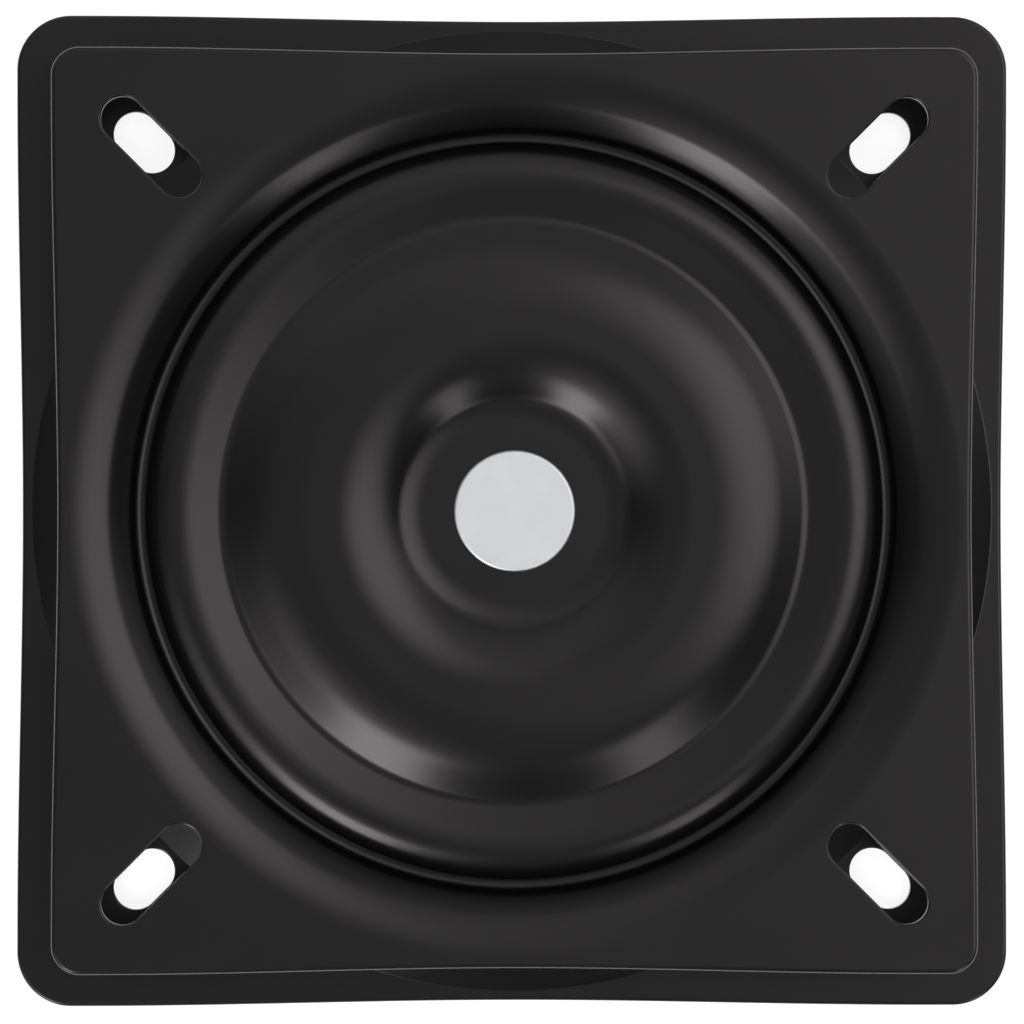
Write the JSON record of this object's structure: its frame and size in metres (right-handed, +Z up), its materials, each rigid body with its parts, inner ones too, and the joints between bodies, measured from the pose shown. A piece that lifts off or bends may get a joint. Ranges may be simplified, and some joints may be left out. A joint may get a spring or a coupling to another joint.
{
  "type": "boat seat swivel",
  "caption": "Low-profile seat swivel: a square pressed-steel seat plate turning on caged ball rows between a larger square base plate and a riveted round cap, with diagonal bolt slots.",
  "frame": {"origin": "on the swivel axis, at the underside of the base plate's flat border", "axes": "+Z up along the swivel axis, X and Y along the sides of the square plates"},
  "size_m": [0.1782, 0.1782, 0.025],
  "materials": {
    "black_paint": "satin black powder coat on pressed steel sheet",
    "zinc_plate": "bright zinc plating",
    "ball_steel": "polished bearing steel",
    "cage_nylon": "moulded natural nylon"
  },
  "bodies": {
    "base": {"base_plate": "black_paint", "bearing_cap": "black_paint", "center_rivet": "zinc_plate"},
    "seat": {"seat_plate": "black_paint"},
    "upper_row": {"upper_ball_cage": "cage_nylon", "upper_ball_01": "ball_steel", "upper_ball_02": "ball_steel", "upper_ball_03": "ball_steel", "upper_ball_04": "ball_steel", "upper_ball_05": "ball_steel", "upper_ball_06": "ball_steel", "upper_ball_07": "ball_steel", "upper_ball_08": "ball_steel", "upper_ball_09": "ball_steel", "upper_ball_10": "ball_steel", "upper_ball_11": "ball_steel", "upper_ball_12": "ball_steel"},
    "lower_row": {"lower_ball_cage": "cage_nylon", "lower_ball_01": "ball_steel", "lower_ball_02": "ball_steel", "lower_ball_03": "ball_steel", "lower_ball_04": "ball_steel", "lower_ball_05": "ball_steel", "lower_ball_06": "ball_steel", "lower_ball_07": "ball_steel", "lower_ball_08": "ball_steel", "lower_ball_09": "ball_steel", "lower_ball_10": "ball_steel", "lower_ball_11": "ball_steel", "lower_ball_12": "ball_steel"}
  },
  "joints": [
    {"name": "seat_swivel", "type": "hinge", "parent": "base", "child": "seat", "pos_m": [0, 0, 0.025], "axis": [0, 0, 1], "continuous": true},
    {"name": "upper_row_roll", "type": "hinge", "parent": "base", "child": "upper_row", "pos_m": [0, 0, 0.0168], "axis": [0, 0, 1], "continuous": true},
    {"name": "lower_row_roll", "type": "hinge", "parent": "base", "child": "lower_row", "pos_m": [0, 0, 0.0114], "axis": [0, 0, 1], "continuous": true}
  ],
  "couplings": [
    {"joint": "upper_row_roll", "follows": "seat_swivel", "ratio": 0.5},
    {"joint": "lower_row_roll", "follows": "seat_swivel", "ratio": 0.5}
  ]
}
